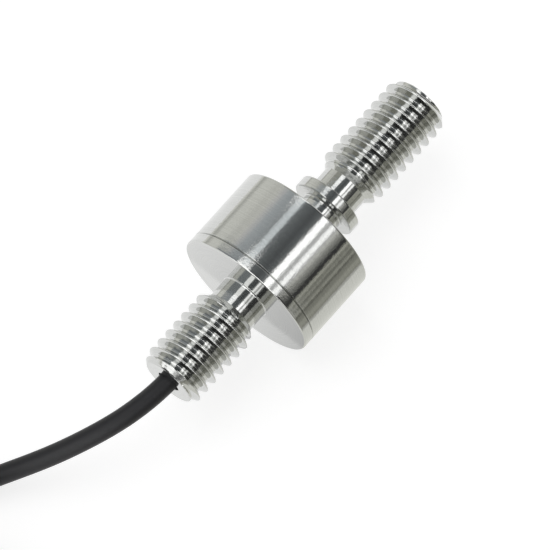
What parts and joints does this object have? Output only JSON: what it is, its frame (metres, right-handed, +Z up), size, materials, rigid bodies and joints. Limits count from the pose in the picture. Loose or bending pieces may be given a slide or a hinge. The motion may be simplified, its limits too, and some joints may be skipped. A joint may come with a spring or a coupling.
{
  "type": "inline load cell",
  "caption": "Miniature in-line load cell: a short round steel body with a threaded stud at each end and a thin cable that leaves one stud and ends in bare cores.",
  "frame": {"origin": "below the middle of the cell, on the plane that its body lies on", "axes": "+X along the load axis towards the longer stud, +Z up, the cable leaves the shorter stud towards -X"},
  "size_m": [0.1054, 0.0266, 0.013],
  "materials": {
    "stainless_steel": "fine turned",
    "gauge_film": "satin",
    "enamelled_copper": "glossy",
    "circuit_board": "satin",
    "chip_ceramic": "matte",
    "cable_jacket": "matte",
    "potting": "matte",
    "brass": "turned",
    "core_red": "gloss",
    "core_black": "gloss",
    "core_green": "gloss",
    "core_white": "gloss",
    "tie_band": "woven",
    "shrink_sleeve": "satin",
    "tinned_copper": "tinned"
  },
  "bodies": {
    "root": {"load_element": "stainless_steel", "end_cap": "stainless_steel", "gauge_inner_a": "gauge_film", "gauge_inner_a_wire_1": "enamelled_copper", "gauge_inner_a_wire_2": "enamelled_copper", "gauge_outer_a": "gauge_film", "gauge_outer_a_wire_1": "enamelled_copper", "gauge_outer_a_wire_2": "enamelled_copper", "gauge_inner_b": "gauge_film", "gauge_inner_b_wire_1": "enamelled_copper", "gauge_inner_b_wire_2": "enamelled_copper", "gauge_outer_b": "gauge_film", "gauge_outer_b_wire_1": "enamelled_copper", "gauge_outer_b_wire_2": "enamelled_copper", "terminal_board": "circuit_board", "balance_resistor": "chip_ceramic", "span_resistor": "chip_ceramic", "cable_in_stud": "cable_jacket", "exit_seal": "potting", "cable_ferrule": "brass", "inner_core_red": "core_red", "inner_core_black": "core_black", "inner_core_green": "core_green", "inner_core_white": "core_white", "cable_coil": "cable_jacket", "coil_tie_1": "tie_band", "coil_tie_2": "tie_band", "cable": "cable_jacket", "cable_tail": "cable_jacket", "end_sleeve": "shrink_sleeve", "lead_red": "core_red", "lead_tip_red": "tinned_copper", "lead_black": "core_black", "lead_tip_black": "tinned_copper", "lead_green": "core_green", "lead_tip_green": "tinned_copper", "lead_white": "core_white", "lead_tip_white": "tinned_copper"}
  },
  "joints": []
}
